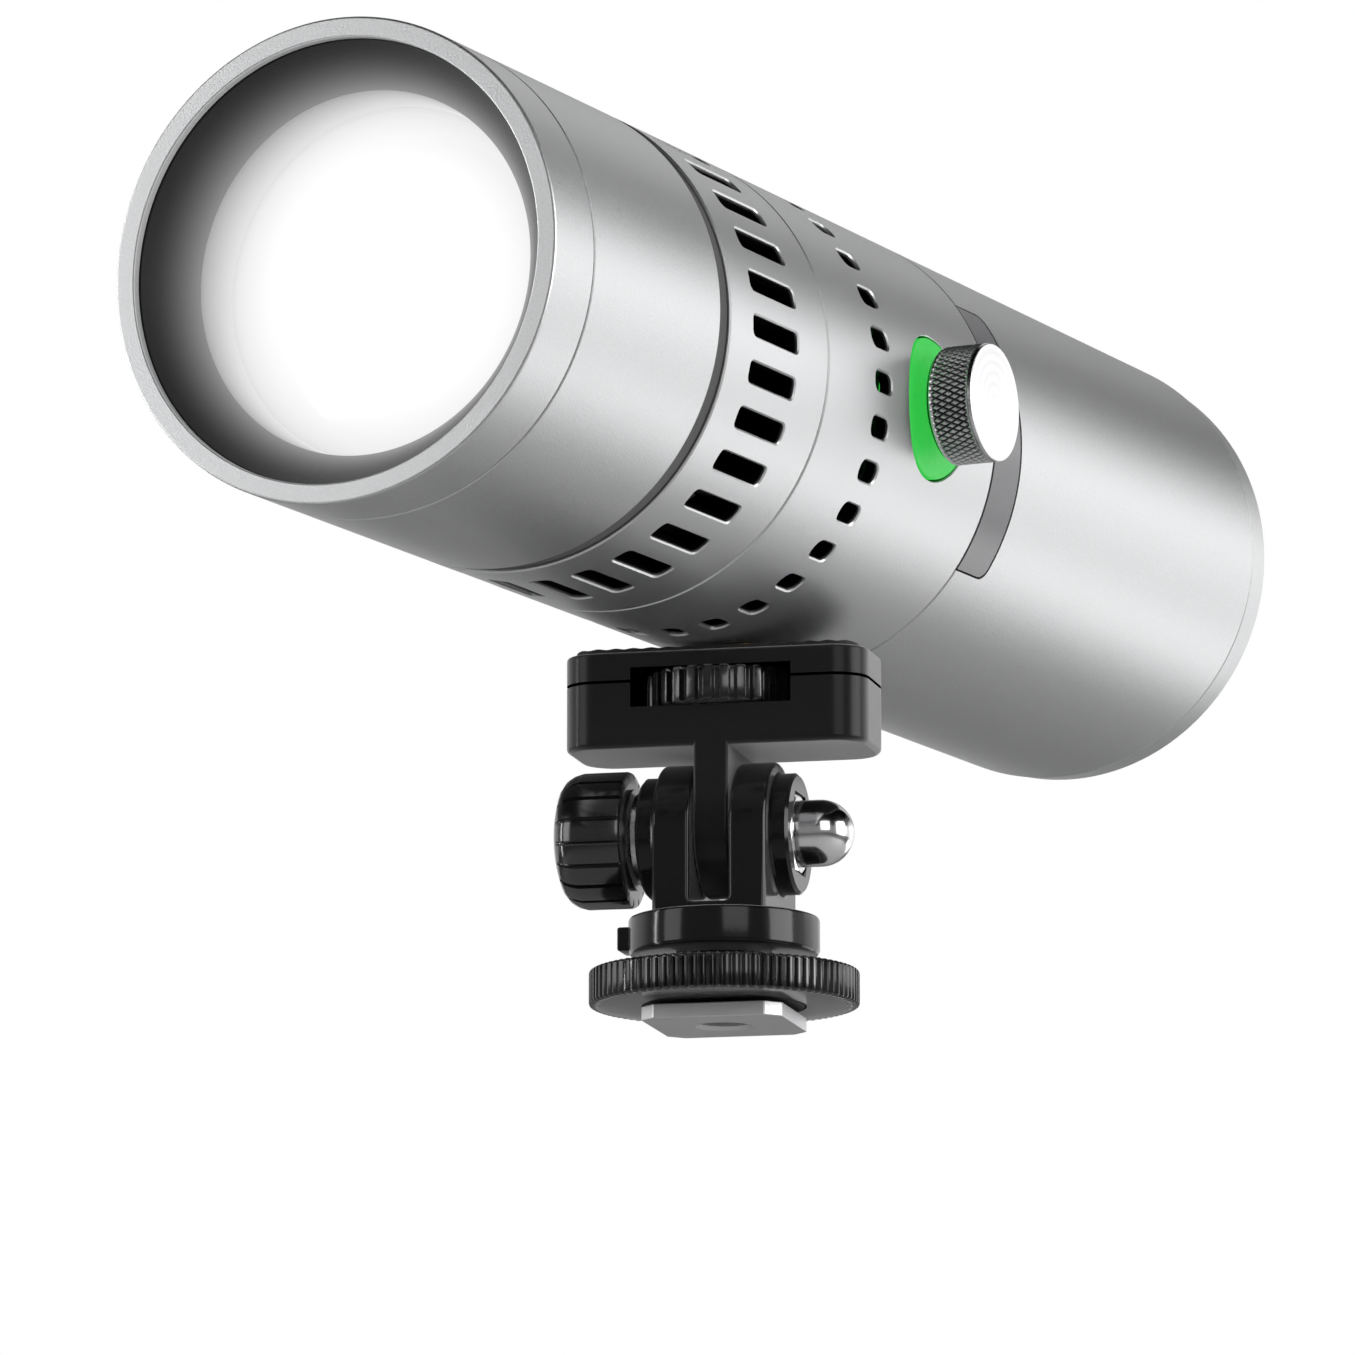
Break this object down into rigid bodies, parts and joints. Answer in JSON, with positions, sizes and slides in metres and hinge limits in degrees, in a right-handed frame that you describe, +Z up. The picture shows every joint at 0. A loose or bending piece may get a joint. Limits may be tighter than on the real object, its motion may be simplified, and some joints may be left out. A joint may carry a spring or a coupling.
{
  "type": "video spotlight",
  "caption": "Cylindrical video spotlight with a hooded front lens, slotted cooling ring, side control knob and display strip, on a tilting thumbwheel bracket with a camera-shoe foot.",
  "frame": {"origin": "centre of the shoe foot's underside, on the axis of its threaded socket", "axes": "+Z up, out of the foot towards the lamp; Y along the lamp's optical axis, with the lens facing -Y; the control knob points to +X"},
  "size_m": [0.0677, 0.2214, 0.1091],
  "materials": {
    "satin_aluminium": "bead-blasted and anodised in silver",
    "knurled_aluminium": "knurled side, spun bright face",
    "hood_grey": "matt grey, fine grain",
    "lens_glass": "polished",
    "reflector": "bright metal coating",
    "led": "phosphor coating",
    "circuit_board": "solder resist",
    "heat_sink": "black anodised",
    "black_plastic": "moulded, fine texture",
    "rubber": "matt",
    "green_light": "frosted, lit from behind",
    "smoked_window": "smoked and polished",
    "battery_wrap": "shrink wrap",
    "brass": "turned",
    "steel": "zinc plated",
    "chrome": "polished",
    "foot_metal": "satin silver"
  },
  "bodies": {
    "base": {"foot_plate": "foot_metal", "clevis_base": "black_plastic", "acorn_nut": "chrome", "tilt_washer": "steel"},
    "tilt_clamp": {"tilt_knob": "black_plastic", "tilt_stud": "steel"},
    "shoe_clamp": {"clamp_washer": "rubber"},
    "shoe_ring": {"lock_ring": "black_plastic"},
    "tilt_head": {"block_base": "black_plastic", "block_top": "black_plastic", "mount_pad": "rubber"},
    "thumb_screw": {"thumbwheel": "black_plastic", "mount_screw": "steel"},
    "lamp": {"front_ring": "satin_aluminium", "hood_cone": "hood_grey", "front_barrel": "satin_aluminium", "barrel_gasket": "rubber", "lens_retaining_ring": "reflector", "front_lens": "lens_glass", "lens_seal": "rubber", "reflector": "reflector", "led_board": "circuit_board", "led_chip": "led", "led_board_screw_1": "steel", "led_board_screw_2": "steel", "heat_sink": "heat_sink", "vent_ring": "satin_aluminium", "fan_bulkhead": "black_plastic", "fan_frame": "black_plastic", "fan_screw_1": "steel", "fan_screw_2": "steel", "mid_housing": "satin_aluminium", "tripod_insert": "brass", "encoder_body": "black_plastic", "encoder_board": "circuit_board", "ring_light_board": "circuit_board", "light_ring": "green_light", "chassis_plate": "satin_aluminium", "driver_board": "circuit_board", "rear_casing": "satin_aluminium", "display_window": "smoked_window", "display_board": "circuit_board", "battery_cradle": "black_plastic", "battery_cell_1": "battery_wrap", "battery_cell_2": "battery_wrap", "battery_cell_3": "battery_wrap", "rear_cap": "satin_aluminium", "rear_cap_screw_1": "steel", "rear_cap_screw_2": "steel", "rear_cap_screw_3": "steel", "port_board": "circuit_board", "charging_port": "steel"},
    "cooling_fan": {"fan_rotor": "black_plastic"},
    "knob_switch": {"switch_plunger": "steel"},
    "knob": {"encoder_shaft": "steel", "control_knob": "knurled_aluminium"}
  },
  "joints": [
    {"name": "tilt_hinge", "type": "hinge", "parent": "base", "child": "tilt_head", "pos_m": [0, 0, 0.0248], "axis": [0.9744, 0.225, 0], "range_deg": [-90, 90]},
    {"name": "tilt_knob_turn", "type": "hinge", "parent": "base", "child": "tilt_clamp", "pos_m": [0, 0, 0.0248], "axis": [0.9744, 0.225, 0], "continuous": true},
    {"name": "shoe_clamp_slide", "type": "slide", "parent": "base", "child": "shoe_clamp", "axis": [0, 0, 1], "range_m": [-0.0004, 0.0015]},
    {"name": "lock_ring_turn", "type": "hinge", "parent": "shoe_clamp", "child": "shoe_ring", "pos_m": [0, 0, 0.0049], "axis": [0, 0, 1], "range_deg": [-145, 541]},
    {"name": "thumbwheel_turn", "type": "hinge", "parent": "tilt_head", "child": "thumb_screw", "pos_m": [0, 0, 0.0435], "axis": [0, 0, 1], "continuous": true},
    {"name": "lamp_pan", "type": "hinge", "parent": "tilt_head", "child": "lamp", "pos_m": [0, 0, 0.0492], "axis": [0, 0, 1], "continuous": true},
    {"name": "knob_press", "type": "slide", "parent": "lamp", "child": "knob_switch", "axis": [-1, 0, 0], "range_m": [0, 0.0007], "stiffness_N_per_m": 2000},
    {"name": "knob_turn", "type": "hinge", "parent": "knob_switch", "child": "knob", "pos_m": [0.0346, 0.0022, 0.0792], "axis": [1, 0, 0], "continuous": true},
    {"name": "fan_spin", "type": "hinge", "parent": "lamp", "child": "cooling_fan", "pos_m": [0, -0.0227, 0.0792], "axis": [0, 1, 0], "continuous": true}
  ],
  "couplings": [
    {"joint": "lock_ring_turn", "follows": "shoe_clamp_slide", "rad_per_m": 6283.2}
  ]
}
